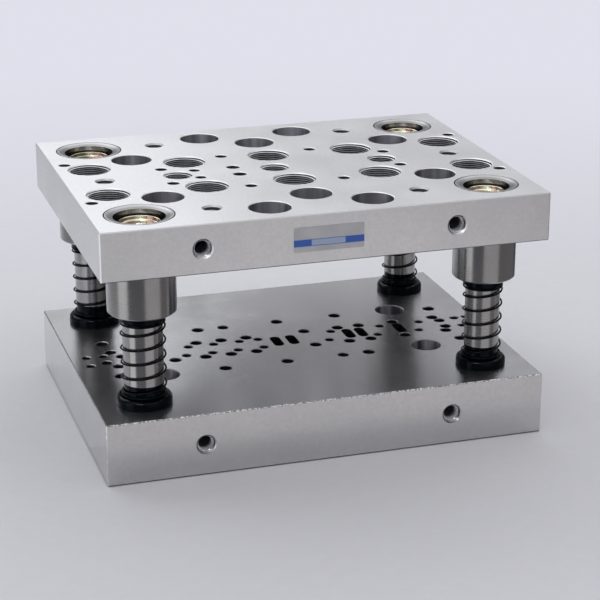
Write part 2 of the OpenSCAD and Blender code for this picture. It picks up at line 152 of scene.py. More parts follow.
# ISO metric proportions, as shares of the pitch
THREAD_ROOT_SHARE = 0.86
THREAD_CREST_SHARE = 0.27
THREAD_DEPTH_SHARE = 0.54
THREAD_BITE = 0.06 * MM          # how far the ridge's foot lies in the hole's wall
THREAD_RUN_IN = 0.3              # turns over which a ridge rises from the wall
THREAD_LEAST_HEIGHT = 0.02       # share of the full height that its ends keep
THREAD_SHARP_FROM = math.radians(40)     # edges sharper than this stay crisp


def thread_ridge(name, diameter, pitch, turns, rings_per_turn):
    """One internal thread: a ridge of trapezium section that winds up the wall of a hole."""
    depth = THREAD_DEPTH_SHARE * pitch + THREAD_BITE
    deselect_everything()
    bpy.ops.mesh.primitive_plane_add(
        size=1,
        location=(diameter / 2 + THREAD_BITE - depth / 2, 0, 0),
        rotation=(math.pi / 2, 0, 0),
    )
    ridge = bpy.context.object
    ridge.name = ridge.data.name = name
    ridge.scale = (depth, THREAD_ROOT_SHARE * pitch, 1)
    settle(ridge)
    bpy.ops.object.mode_set(mode="EDIT")
    bpy.ops.mesh.delete(type="ONLY_FACE")
    bpy.ops.mesh.select_all(action="DESELECT")
    bpy.ops.object.mode_set(mode="OBJECT")
    for vertex in ridge.data.vertices:
        vertex.select = vertex.co.x < diameter / 2 - depth / 2
    bpy.ops.object.mode_set(mode="EDIT")
    bpy.ops.transform.resize(
        value=(1, 1, THREAD_CREST_SHARE / THREAD_ROOT_SHARE),
        center_override=(0, 0, 0),
    )
    bpy.ops.object.mode_set(mode="OBJECT")
    corners = len(ridge.data.vertices)
    turn_up(ridge, turns, rings_per_turn, pitch * turns)
    run_in = THREAD_RUN_IN * rings_per_turn
    rings = round(turns * rings_per_turn)
    foot = diameter / 2 + THREAD_BITE
    for vertex in ridge.data.vertices:
        ring = vertex.index // corners
        height = min(1, ring / run_in, (rings - ring) / run_in)
        reach = math.hypot(vertex.co.x, vertex.co.y)
        if reach < diameter / 2:
            pulled = (foot - (foot - reach) * max(height, THREAD_LEAST_HEIGHT)) / reach
            vertex.co.x *= pulled
            vertex.co.y *= pulled
    take_up(ridge)
    bpy.ops.object.shade_smooth_by_angle(angle=THREAD_SHARP_FROM)
    return ridge


def fit_threads(model, stem, body, finish, places):
    """Copies one thread to each of its holes and discards the model."""
    for number, (place, turn) in enumerate(places, 1):
        piece = copy_to(model, f"{stem}_{number}", place, turn)
        piece.data.materials.append(finish)
        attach(piece, body)
    discard(model)


def at_corners(x, y):
    return [(side_x * x, side_y * y) for side_y in (-1, 1) for side_x in (-1, 1)]


# ---- Springs ----

SPRING_WIRE = 1.35 * MM
SPRING_ACTIVE_TURNS = 4.8
SPRING_CLOSED_TURNS = 1
SPRING_SIDES = 14
SPRING_RINGS_PER_TURN = 48
SPRING_SHARP_FROM = math.radians(50)
# degrees round the post at which each wire's lower end lies
SPRING_START = {"front_left": 151, "front_right": 106, "rear_left": 305, "rear_right": 145}


def coil_rise(turns, pitch):
    closed = min(turns, SPRING_CLOSED_TURNS)
    active = max(0, min(turns - SPRING_CLOSED_TURNS, SPRING_ACTIVE_TURNS))
    last = max(0, turns - SPRING_CLOSED_TURNS - SPRING_ACTIVE_TURNS)
    return SPRING_WIRE * (closed + last) + pitch * active


def wind_spring(station, finish):
    """A round-wire compression spring with closed ends, which stretches between collar and cage."""
    node = "cage_spring_" + station
    low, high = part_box(node)
    axis = middle_of("guide_post_" + station)
    coil_radius = (high.x - low.x) / 2 - SPRING_WIRE / 2
    turns = SPRING_ACTIVE_TURNS + 2 * SPRING_CLOSED_TURNS
    height = high.z - low.z
    pitch = (height - (1 + 2 * SPRING_CLOSED_TURNS) * SPRING_WIRE) / SPRING_ACTIVE_TURNS
    deselect_everything()
    bpy.ops.mesh.primitive_circle_add(
        vertices=SPRING_SIDES,
        radius=SPRING_WIRE / 2,
        location=(coil_radius, 0, 0),
        rotation=(math.pi / 2, 0, 0),
    )
    spring = bpy.context.object
    spring.name = spring.data.name = "wire_spring_" + station
    settle(spring)
    turn_up(spring, turns, SPRING_RINGS_PER_TURN, 0)
    rings = round(turns * SPRING_RINGS_PER_TURN)
    for vertex in spring.data.vertices:
        ring = vertex.index // SPRING_SIDES
        vertex.co.z += coil_rise(turns * ring / rings, pitch)
    spring.location = (axis.x, axis.y, low.z + SPRING_WIRE / 2)
    spring.rotation_euler = (0, 0, math.radians(SPRING_START[station]))
    settle(spring)
    bpy.ops.object.shade_smooth_by_angle(angle=SPRING_SHARP_FROM)
    spring.data.materials.append(finish)
    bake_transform(spring)
    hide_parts(node)
    return spring


# ---- Node building ----

def add_node(tree, kind, **settings):
    node = tree.nodes.new(kind)
    for name, value in settings.items():
        setattr(node, name, value)
    return node


def feed(tree, source, socket):
    """Joins a socket, or sets a value, to an input."""
    if isinstance(source, bpy.types.NodeSocket):
        tree.links.new(source, socket)
    else:
        socket.default_value = source


def maths(tree, operation, first, second=0.0):
    node = add_node(tree, "ShaderNodeMath", operation=operation)
    feed(tree, first, node.inputs[0])
    feed(tree, second, node.inputs[1])
    return node.outputs[0]


def vectors(tree, operation, first, second):
    node = add_node(tree, "ShaderNodeVectorMath", operation=operation)
    feed(tree, first, node.inputs[0])
    feed(tree, second, node.inputs[1])
    return node.outputs[0]


def spread(tree, value, from_low, from_high, to_low=0.0, to_high=1.0, smooth=False):
    """Maps one range of a value to another and holds it at both ends."""
    node = add_node(tree, "ShaderNodeMapRange", clamp=True)
    if smooth:
        node.interpolation_type = "SMOOTHSTEP"
    sockets = (value, from_low, from_high, to_low, to_high)
    for source, socket in zip(sockets, node.inputs):
        feed(tree, source, socket)
    return node.outputs[0]


def mix_colours(tree, share, first, second):
    node = add_node(tree, "ShaderNodeMix", data_type="RGBA")
    feed(tree, share, node.inputs[0])
    feed(tree, first, node.inputs[6])
    feed(tree, second, node.inputs[7])
    return node.outputs[2]


def mix_values(tree, share, first, second):
    node = add_node(tree, "ShaderNodeMix", data_type="FLOAT")
    feed(tree, share, node.inputs[0])
    feed(tree, first, node.inputs[2])
    feed(tree, second, node.inputs[3])
    return node.outputs[0]


def noise(tree, place, scale, detail, roughness):
    """Noise from 0 to 1. Its scale is in cycles per unit of place, mostly metres."""
    node = add_node(tree, "ShaderNodeTexNoise")
    feed(tree, place, node.inputs["Vector"])
    feed(tree, scale, node.inputs["Scale"])
    feed(tree, detail, node.inputs["Detail"])
    feed(tree, roughness, node.inputs["Roughness"])
    return node.outputs["Fac"]


def split(tree, vector):
    node = add_node(tree, "ShaderNodeSeparateXYZ")
    feed(tree, vector, node.inputs[0])
    return node.outputs


def new_group(name, inputs, outputs):
    group = bpy.data.node_groups.new(name, "ShaderNodeTree")
    for label, kind, value in inputs:
        socket = group.interface.new_socket(label, in_out="INPUT", socket_type=kind)
        if value is not None:
            socket.default_value = value
    for label, kind in outputs:
        group.interface.new_socket(label, in_out="OUTPUT", socket_type=kind)
    return group, add_node(group, "NodeGroupInput").outputs, add_node(group, "NodeGroupOutput").inputs


def place_group(tree, group, **values):
    node = add_node(tree, "ShaderNodeGroup", node_tree=group)
    for label, value in values.items():
        feed(tree, value, node.inputs[label.replace("_", " ")])
    return node.outputs


VECTOR = "NodeSocketVector"
FLOAT = "NodeSocketFloat"


# ---- Effects that several finishes share ----

# scales of the nicks along an edge, and of the ragged line they reach to
NICK_SCALE = 800.0
RAGGED_SCALE = 700.0
RAGGED_REACH = (0.4, 1.5)        # least and most of it, as shares of the reach
END_EDGE_CRISPNESS = 2.2         # the nicks of the left and right edges are this much narrower
INSIDE_FROM = 0.6 * MM           # distances from an upright face over which Inside rises to 1
INSIDE_AT = 1.0 * MM
SCRATCH_TURN = (0.3, 0.2, 0.6)
SCRATCH_STRETCH = (1.0, 22.0, 16.0)
SCRATCHED_AREA_SCALE = 45.0
BAND_SHARE = 0.08                # broad bands round a turned piece, as a share of its rings


def make_grinding_grain():
    """Fine straight grain of a ground face. Stretch is cycles per metre along X, Y and Z."""
    group, given, out = new_group(
        "grinding_grain",
        [("Place", VECTOR, None), ("Stretch", VECTOR, (100, 3000, 3000)), ("Patch", FLOAT, 12.0)],
        [("Grain", FLOAT), ("Patches", FLOAT)],
    )
    stretched = vectors(group, "MULTIPLY", given["Place"], given["Stretch"])
    feed(group, noise(group, stretched, 1.0, 3.0, 0.6), out["Grain"])
    feed(group, noise(group, given["Place"], given["Patch"], 2.0, 0.5), out["Patches"])
    return group


def make_edge_wear():
    """Nicks along the edges of a block from Low to High. Inside is 1 away from its upright faces."""
    group, given, out = new_group(
        "edge_wear",
        [("Place", VECTOR, None), ("Low", VECTOR, None), ("High", VECTOR, None),
         ("Reach", FLOAT, 0.001), ("Bare From", FLOAT, 0.5)],
        [("Nicks", FLOAT), ("Inside", FLOAT)],
    )
    from_low = vectors(group, "SUBTRACT", given["Place"], given["Low"])
    from_high = vectors(group, "SUBTRACT", given["High"], given["Place"])
    near = split(group, vectors(group, "MINIMUM", from_low, from_high))
    side = maths(group, "MINIMUM", near[0], near[1])
    ends = maths(group, "MULTIPLY", near[0], END_EDGE_CRISPNESS)
    near_side = maths(group, "MINIMUM", ends, near[1])
    far_side = maths(group, "MAXIMUM", ends, near[1])
    second = maths(group, "MAXIMUM", near_side, maths(group, "MINIMUM", far_side, near[2]))
    ragged = noise(group, given["Place"], RAGGED_SCALE, 2.0, 0.5)
    reach = maths(group, "MULTIPLY", given["Reach"], spread(group, ragged, 0.35, 0.65, *RAGGED_REACH))
    edge = spread(group, maths(group, "DIVIDE", second, reach), 0.7, 1.0, 1.0, 0.0)
    spots = noise(group, given["Place"], NICK_SCALE, 2.0, 0.6)
    bare = spread(group, maths(group, "SUBTRACT", spots, given["Bare From"]), 0.0, 0.05)
    feed(group, maths(group, "MULTIPLY", edge, bare), out["Nicks"])
    feed(group, spread(group, side, INSIDE_FROM, INSIDE_AT), out["Inside"])
    return group


def make_handling_marks():
    """Soft smears and a few fine scratches from handling."""
    group, given, out = new_group(
        "handling_marks",
        [("Place", VECTOR, None), ("Smear Scale", FLOAT, 30.0), ("Scratch Scale", FLOAT, 60.0)],
        [("Smear", FLOAT), ("Scratch", FLOAT)],
    )
    smear = noise(group, given["Place"], given["Smear Scale"], 3.0, 0.55)
    feed(group, spread(group, smear, 0.35, 0.7, smooth=True), out["Smear"])
    turned = add_node(group, "ShaderNodeMapping")
    feed(group, given["Place"], turned.inputs["Vector"])
    turned.inputs["Rotation"].default_value = SCRATCH_TURN
    turned.inputs["Scale"].default_value = SCRATCH_STRETCH
    line = noise(group, turned.outputs[0], given["Scratch Scale"], 1.0, 0.4)
    where = noise(group, given["Place"], SCRATCHED_AREA_SCALE, 1.0, 0.5)
    fine = spread(group, line, 0.69, 0.73)
    feed(group, maths(group, "MULTIPLY", fine, spread(group, where, 0.5, 0.62)), out["Scratch"])
    return group


def make_turned_rings():
    """Rings left round a ground, reamed or turned surface whose axis is Z."""
    group, given, out = new_group(
        "turned_rings",
        [("Place", VECTOR, None), ("Rings", FLOAT, 3000.0), ("Waver", FLOAT, 60.0)],
        [("Rings", FLOAT), ("Bands", FLOAT)],
    )
    parts = split(group, given["Place"])
    combined = add_node(group, "ShaderNodeCombineXYZ")
    feed(group, maths(group, "MULTIPLY", parts[0], given["Waver"]), combined.inputs[0])
    feed(group, maths(group, "MULTIPLY", parts[1], given["Waver"]), combined.inputs[1])
    feed(group, maths(group, "MULTIPLY", parts[2], given["Rings"]), combined.inputs[2])
    feed(group, noise(group, combined.outputs[0], 1.0, 2.0, 0.5), out["Rings"])
    broad = vectors(group, "MULTIPLY", combined.outputs[0], (1.0, 1.0, BAND_SHARE))
    feed(group, noise(group, broad, 1.0, 2.0, 0.5), out["Bands"])
    return group


def make_bush_rings():
    """Where a bush meets the plate. Seam is 1 on the dark joint line, Lip near the bush's mouth, where its
    end face takes painted shade.
    """
    group, given, out = new_group(
        "bush_rings", [("Place", VECTOR, None)], [("Seam", FLOAT), ("Lip", FLOAT)])
    parts = split(group, given["Place"])
    right = maths(group, "GREATER_THAN", parts[0], 0.0)
    outside = mix_values(group, right, BUSH_RADIUS_LEFT, BUSH_RADIUS_RIGHT)
    across = maths(group, "SUBTRACT", maths(group, "ABSOLUTE", parts[0]), BUSH_AXIS.x)
    along = maths(group, "SUBTRACT", maths(group, "ABSOLUTE", parts[1]), BUSH_AXIS.y)
    radius = maths(group, "SQRT", maths(group, "ADD", maths(group, "MULTIPLY", across, across),
                                        maths(group, "MULTIPLY", along, along)))
    inward = maths(group, "SUBTRACT", outside, radius)
    at_top = maths(group, "GREATER_THAN", parts[2], UPPER_HIGH.z - SEAM_DEPTH)
    seam = spread(group, maths(group, "ABSOLUTE", inward), SEAM_HALF_WIDTH, 1.3 * SEAM_HALF_WIDTH, 1.0, 0.0)
    feed(group, maths(group, "MULTIPLY", seam, at_top), out["Seam"])
    feed(group, spread(group, inward, LIP_FROM, LIP_TO, smooth=True), out["Lip"])
    return group


GRAIN = make_grinding_grain()
EDGES = make_edge_wear()
MARKS = make_handling_marks()
RINGS = make_turned_rings()
BUSH_RINGS = make_bush_rings()


# ---- Finishes ----

def start_finish(name, metallic, **constants):
    """A new material with its Principled shader, and the object's own coordinates."""
    material = bpy.data.materials.new(name)
    material.use_nodes = True
    tree = material.node_tree
    shader = tree.nodes["Principled BSDF"]
    shader.inputs["Metallic"].default_value = metallic
    for label, value in constants.items():
        shader.inputs[label.replace("_", " ")].default_value = value
    place = add_node(tree, "ShaderNodeTexCoord").outputs["Object"]
    return material, tree, shader.inputs, place


def raise_bump(tree, shader, height, distance):
    bump = add_node(tree, "ShaderNodeBump")
    bump.inputs["Strength"].default_value = 1
    bump.inputs["Distance"].default_value = distance
    feed(tree, height, bump.inputs["Height"])
    feed(tree, bump.outputs[0], shader["Normal"])


def grey(level, blue=0.0):
    return (level, level, level * (1 + blue), 1.0)


def within(tree, value, low, high, soft):
    """1 between low and high, with soft edges."""
    above = spread(tree, value, low - soft, low + soft)
    below = spread(tree, value, high - soft, high + soft, 1.0, 0.0)
    return maths(tree, "MULTIPLY", above, below)


def near_axes(tree, first, second, holes):
    """1 near any of the hole axes. Holes are (place, place, radius), mirrored about both middles."""
    found = None
    for axis_first, axis_second, radius in holes:
        off_first = maths(tree, "SUBTRACT", maths(tree, "ABSOLUTE", first), axis_first)
        off_second = maths(tree, "SUBTRACT", maths(tree, "ABSOLUTE", second), axis_second)
        squares = maths(tree, "ADD", maths(tree, "MULTIPLY", off_first, off_first),
                        maths(tree, "MULTIPLY", off_second, off_second))
        near = maths(tree, "LESS_THAN", squares, radius * radius)
        found = near if found is None else maths(tree, "MAXIMUM", found, near)
    return found


def lifting_hole_depths(tree, parts, low, high):
    """1 on the walls of a plate's lifting holes, past their mouths, where painted shade darkens them."""
    up_from_middle = maths(tree, "SUBTRACT", parts[2], (low.z + high.z) / 2)
    lifting = near_axes(tree, parts[0], up_from_middle, [(LIFTING_X, 0, LIFTING_REACH)])
    past_mouth = spread(tree, maths(tree, "ABSOLUTE", parts[1]),
                        high.y - LIFTING_DARK_AT, high.y - LIFTING_DARK_FROM, 1.0, 0.0)
    return maths(tree, "MULTIPLY", lifting, past_mouth)


def tone_by_hole(tree, parts, tone, listed, blue=0.0):
    """One tone for most holes and others for the listed ones."""
    found = grey(tone, blue)
    for holes, hole_tone in listed:
        found = mix_colours(tree, near_axes(tree, parts[0], parts[1], holes), found, grey(hole_tone, blue))
    return found


HOLE_WALL_BLUE = 0.08
# dark upright streaks on hole walls: painted reflection bands
STREAK_SCALE = (140.0, 140.0, 5.0)
REFLECTION_STREAK_COLOUR = (0.06, 0.06, 0.072, 1)


def painted_reflection_streaks(tree, place, wall, streaks):
    """Hole walls with dark upright streaks, which are painted reflection bands."""
    drawn = noise(tree, vectors(tree, "MULTIPLY", place, STREAK_SCALE), 1.0, 2.0, 0.5)
    return mix_colours(tree, spread(tree, drawn, 0.38, 0.62, streaks, 0.0), wall, REFLECTION_STREAK_COLOUR)


# a ground face: each tone is a share of the plate's own, each strength how much of it covers
PATCH_TONE = 0.96
MOTTLE_SCALE = 420.0
MOTTLE_TONE, MOTTLE_STRENGTH = 0.84, 0.7
SMEAR_TONE, SMEAR_STRENGTH = 0.92, 0.3
# how much each adds to the face's roughness
GRAIN_ROUGHNESS = (-0.015, 0.02)
SMEAR_ROUGHNESS = 0.04
SCRATCH_ROUGHNESS = 0.05         # taken off, as a scratch is bright


def ground_face_colour(tree, tone, grain, mottle, smear):
    """A ground face: faint patches, fine mottle and smears of oil."""
    patches = spread(tree, grain["Patches"], 0.35, 0.65)
    patched = mix_colours(tree, patches, grey(tone * PATCH_TONE), grey(tone, 0.012))
    mottled = mix_colours(tree, spread(tree, mottle, 0.3, 0.7, 0.0, MOTTLE_STRENGTH), patched,
                          grey(tone * MOTTLE_TONE, 0.01))
    return mix_colours(tree, maths(tree, "MULTIPLY", smear, SMEAR_STRENGTH), mottled,
                       grey(tone * SMEAR_TONE, 0.02))


def ground_face_roughness(tree, rough, grain, marks):
    face = maths(tree, "ADD", rough, spread(tree, grain["Grain"], 0.3, 0.7, *GRAIN_ROUGHNESS))
    face = maths(tree, "ADD", face, maths(tree, "MULTIPLY", marks["Smear"], SMEAR_ROUGHNESS))
    return maths(tree, "SUBTRACT", face, maths(tree, "MULTIPLY", marks["Scratch"], SCRATCH_ROUGHNESS))


# how level a face is, from 0 to 1, by which walls and bevels are told from flat faces
UPRIGHT_SLOPES = (0.3, 0.6)
BEVEL_SLOPES = (0.55, 0.9, 0.05)
UNDERSIDE_SLOPES = (-0.55, -0.45)
# heights of the fine relief, as shares of its depth
RELIEF_DEPTH = 0.1 * MM
GRAIN_HEIGHT = 0.008
MOTTLE_HEIGHT = 0.015
SCRATCH_HEIGHT = 0.04
WALL_RING_HEIGHT = 0.03
BEVEL_ROUGHNESS = 0.5
# bevels that face down are darkened: painted shade
UNDERSIDE_BEVEL_PAINTED_SHADE = 0.3
NICK_TONE = 0.92
SEAM_TONE = 0.03
# walls deep in the lifting holes are darkened: painted shade
LIFTING_WALL_PAINTED_SHADE = 0.045


def ground_plate_finish(name, low, high, tone, rough, anisotropic, edge_tone, nick_reach, nicks_from,
                        mouth_tone, mouth_tones, wall_tone, wall_tones, wall_rough, streaks):
    """Surface-ground steel block: grain along X, nicked edges, bevelled holes with drilled walls. Downward
    bevels, dark hole walls and the depths of the lifting holes carry painted shade, and the hole walls
    painted reflection streaks.
    """
    material, tree, shader, place = start_finish(name, 1.0, Anisotropic=anisotropic)
    parts = split(tree, place)
    normal = split(tree, add_node(tree, "ShaderNodeNewGeometry").outputs["Normal"])
    rise = maths(tree, "ABSOLUTE", normal[2])
    upright = spread(tree, rise, *UPRIGHT_SLOPES, 1.0, 0.0)
    bevel = within(tree, rise, *BEVEL_SLOPES)
    under = spread(tree, normal[2], *UNDERSIDE_SLOPES, 1.0, 0.0)
    grain = place_group(tree, GRAIN, Place=place, Stretch=(60, 2600, 2600), Patch=9.0)
    marks = place_group(tree, MARKS, Place=place, Smear_Scale=26.0, Scratch_Scale=70.0)
    edges = place_group(tree, EDGES, Place=place, Low=low, High=high, Reach=nick_reach, Bare_From=nicks_from)
    rings = place_group(tree, RINGS, Place=place, Rings=3200.0, Waver=30.0)
    seam = place_group(tree, BUSH_RINGS, Place=place)["Seam"]
    in_hole = maths(tree, "MULTIPLY", upright, edges["Inside"])
    mottle = noise(tree, place, MOTTLE_SCALE, 3.0, 0.6)

    face = ground_face_colour(tree, tone, grain, mottle, marks["Smear"])
    mouths = tone_by_hole(tree, parts, mouth_tone, mouth_tones)
    bevel_tone = mix_colours(tree, edges["Inside"], grey(edge_tone), mouths)
    # painted shade on the bevels that face down
    bevel_tone = mix_colours(tree, under, bevel_tone, grey(UNDERSIDE_BEVEL_PAINTED_SHADE))
    bevelled = mix_colours(tree, bevel, face, bevel_tone)
    nicks = maths(tree, "MULTIPLY", edges["Nicks"], maths(tree, "SUBTRACT", 1.0, under))
    nicked = mix_colours(tree, nicks, bevelled, grey(NICK_TONE))
    # hole wall tones: those darker than the face are painted shade in the holes
    walls = tone_by_hole(tree, parts, wall_tone, wall_tones, HOLE_WALL_BLUE)
    # painted reflection streaks on the hole walls
    walls = painted_reflection_streaks(tree, place, walls, streaks)
    drilled = mix_colours(tree, in_hole, nicked, walls)
    # painted shade deep in the lifting holes
    deep = lifting_hole_depths(tree, parts, low, high)
    drilled = mix_colours(tree, deep, drilled, grey(LIFTING_WALL_PAINTED_SHADE, 0.05))
    feed(tree, mix_colours(tree, seam, drilled, grey(SEAM_TONE)), shader["Base Color"])

    face_rough = mix_values(tree, bevel, ground_face_roughness(tree, rough, grain, marks), BEVEL_ROUGHNESS)
    ringed_rough = spread(tree, rings["Rings"], 0.3, 0.7, wall_rough, wall_rough + 0.1)
    feed(tree, mix_values(tree, in_hole, face_rough, ringed_rough), shader["Roughness"])

    grained = maths(tree, "MULTIPLY", grain["Grain"], GRAIN_HEIGHT)
    uneven = maths(tree, "ADD", grained, maths(tree, "MULTIPLY", mottle, MOTTLE_HEIGHT))
    scratched = maths(tree, "SUBTRACT", uneven, maths(tree, "MULTIPLY", marks["Scratch"], SCRATCH_HEIGHT))
    ringed = mix_values(tree, in_hole, scratched, maths(tree, "MULTIPLY", rings["Rings"], WALL_RING_HEIGHT))
    raise_bump(tree, shader, ringed, RELIEF_DEPTH)

    across_grain = add_node(tree, "ShaderNodeCombineXYZ")
    feed(tree, maths(tree, "SUBTRACT", 1.0, upright), across_grain.inputs[1])
    feed(tree, upright, across_grain.inputs[2])
    feed(tree, across_grain.outputs[0], shader["Tangent"])
    return material


FLANK_SLOPES = (0.1, 0.5)        # how far up a thread's flank faces, by which it is told from a crest
# how much painted shade the crests and lower flanks take, and its colour
CREST_SHADE = 0.93
PAINTED_THREAD_SHADE = (0.02, 0.02, 0.024, 1)


def cut_thread_finish(name, tone, rough, shade):
    """Freshly cut threads: bright where they face the light, and dark with painted shade where shade is 1."""
    material, tree, shader, place = start_finish(name, 0.4)
    marks = place_group(tree, MARKS, Place=place, Smear_Scale=160.0, Scratch_Scale=200.0)
    cut = mix_colours(tree, marks["Smear"], grey(tone, 0.03), grey(tone * 0.8, 0.05))
    # painted shade where the shade mask is 1
    feed(tree, mix_colours(tree, shade(tree, place), cut, PAINTED_THREAD_SHADE), shader["Base Color"])
    feed(tree, maths(tree, "ADD", rough, maths(tree, "MULTIPLY", marks["Smear"], -0.1)),
         shader["Roughness"])
    raise_bump(tree, shader, marks["Scratch"], 0.004 * MM)
    return material


def all_but_upper_flanks(tree, place):
    """1 on a thread's drilled crests and lower flanks, which take painted shade, 0 on the flanks that face
    up.
    """
    normal = split(tree, add_node(tree, "ShaderNodeNewGeometry").outputs["Normal"])
    return spread(tree, normal[2], *FLANK_SLOPES, CREST_SHADE, 0.0)


def deep_in_side(tree, place):
    """1 well inside a hole from the front or the back, where the lifting threads take painted shade."""
    inward = maths(tree, "SUBTRACT", LOWER_HIGH.y, maths(tree, "ABSOLUTE", split(tree, place)[1]))
    return spread(tree, inward, LIFTING_THREAD_DARK_FROM, LIFTING_THREAD_DARK_AT)


# a bush's end face, pale at the rim and darker towards its mouth, where the darkening is painted shade
RIM_TONE = 0.5
LIP_PAINTED_SHADE_TONE = 0.3
END_FACE_ROUGHNESS = 0.34
ROUND_RING_HEIGHT = 0.03
ROUND_SCRATCH_HEIGHT = 0.08


def ground_round_finish(name, tone, rough, anisotropic):
    """Cylindrically ground steel: fine rings round the axis and a few scratches."""
    material, tree, shader, place = start_finish(name, 1.0, Anisotropic=anisotropic)
    rings = place_group(tree, RINGS, Place=place, Rings=4200.0, Waver=120.0)
    marks = place_group(tree, MARKS, Place=place, Smear_Scale=60.0, Scratch_Scale=120.0)
    mouth = place_group(tree, BUSH_RINGS, Place=place)
    normal = split(tree, add_node(tree, "ShaderNodeNewGeometry").outputs["Normal"])
    level = spread(tree, maths(tree, "ABSOLUTE", normal[2]), 0.5, 0.6)
    banded = mix_colours(tree, rings["Bands"], grey(tone * 0.9), grey(tone, -0.01))
    smeared = mix_colours(tree, maths(tree, "MULTIPLY", marks["Smear"], 0.3), banded,
                          (tone * 0.9, tone * 0.86, tone * 0.84, 1))
    # painted shade towards the bush's mouth
    end_face = mix_colours(tree, mouth["Lip"], grey(RIM_TONE), grey(LIP_PAINTED_SHADE_TONE))
    ended = mix_colours(tree, level, smeared, end_face)
    feed(tree, mix_colours(tree, mouth["Seam"], ended, grey(SEAM_TONE)), shader["Base Color"])
    ring_rough = spread(tree, rings["Rings"], 0.3, 0.7, rough - 0.03, rough + 0.05)
    ring_rough = maths(tree, "ADD", ring_rough, maths(tree, "MULTIPLY", marks["Smear"], 0.05))
    feed(tree, mix_values(tree, level, ring_rough, END_FACE_ROUGHNESS), shader["Roughness"])
    height = maths(tree, "MULTIPLY", rings["Rings"], ROUND_RING_HEIGHT)
    height = maths(tree, "SUBTRACT", height, maths(tree, "MULTIPLY", marks["Scratch"], ROUND_SCRATCH_HEIGHT))
    raise_bump(tree, shader, height, RELIEF_DEPTH)
    along_axis = add_node(tree, "ShaderNodeCombineXYZ")
    along_axis.inputs[2].default_value = 1
    feed(tree, along_axis.outputs[0], shader["Tangent"])
    return material


def black_oxide_finish(name, rough, level):
    """Glossy black oxide under a film of oil."""
    material, tree, shader, place = start_finish(
        name, 0.0, IOR=1.22, Specular_Tint=(0.6, 0.78, 1, 1))
    marks = place_group(tree, MARKS, Place=place, Smear_Scale=140.0, Scratch_Scale=160.0)
    rings = place_group(tree, RINGS, Place=place, Rings=1500.0, Waver=150.0)
    dark = (level * 0.8, level * 0.92, level * 1.2, 1)
    pale = (level * 1.8, level * 1.95, level * 2.4, 1)
    feed(tree, mix_colours(tree, maths(tree, "MULTIPLY", marks["Smear"], 0.5), dark, pale),
         shader["Base Color"])
    feed(tree, maths(tree, "ADD", rough, maths(tree, "MULTIPLY", marks["Smear"], 0.12)),
         shader["Roughness"])
    raise_bump(tree, shader, rings["Rings"], 0.004 * MM)
    return material


def brass_finish(name, base, tint, bloom, rough, cloud):
    """Brass, or yellow-passivated steel with its bloom of faint colours; on the caps the dark bloom is partly
    painted reflection.
    """
    material, tree, shader, place = start_finish(name, 1.0)
    marks = place_group(tree, MARKS, Place=place, Smear_Scale=170.0, Scratch_Scale=150.0)
    rings = place_group(tree, RINGS, Place=place, Rings=2600.0, Waver=160.0)
    patch = noise(tree, place, cloud, 1.0, 0.4)
    warm = mix_colours(tree, spread(tree, patch, 0.42, 0.62, smooth=True), base, tint)
    second = noise(tree, vectors(tree, "ADD", place, (0.3, 0.1, 0.0)), cloud * 0.8, 1.0, 0.4)
    feed(tree, mix_colours(tree, spread(tree, second, 0.5, 0.66, 0.0, 0.85), warm, bloom),
         shader["Base Color"])
    feed(tree, maths(tree, "ADD", rough, maths(tree, "MULTIPLY", marks["Smear"], 0.08)),
         shader["Roughness"])
    raise_bump(tree, shader, rings["Rings"], 0.002 * MM)
    return material


def bright_part_finish(name, tone, rough):
    """Small bright steel: balls and plated screws."""
    material, tree, shader, place = start_finish(name, 1.0)
    marks = place_group(tree, MARKS, Place=place, Smear_Scale=300.0, Scratch_Scale=240.0)
    feed(tree, mix_colours(tree, maths(tree, "MULTIPLY", marks["Smear"], 0.4),
                           grey(tone, 0.01), grey(tone * 0.82, 0.02)), shader["Base Color"])
    feed(tree, maths(tree, "ADD", rough, maths(tree, "MULTIPLY", marks["Smear"], 0.08)),
         shader["Roughness"])
    raise_bump(tree, shader, marks["Scratch"], 0.003 * MM)
    return material


# the nameplate's print, as shares of its size: low, high and softness of the edges
BAND_HEIGHTS = (0.22, 0.50, 0.012)
FIELD_HEIGHTS = (0.245, 0.475, 0.012)
FIELD_ENDS = (0.25, 0.73, 0.004)
BAND_BLUE = (0.035, 0.13, 0.52, 1)
PLATE_SILVER = (0.56, 0.57, 0.59, 1)
FIELD_PALE = (0.42, 0.52, 0.70, 1)


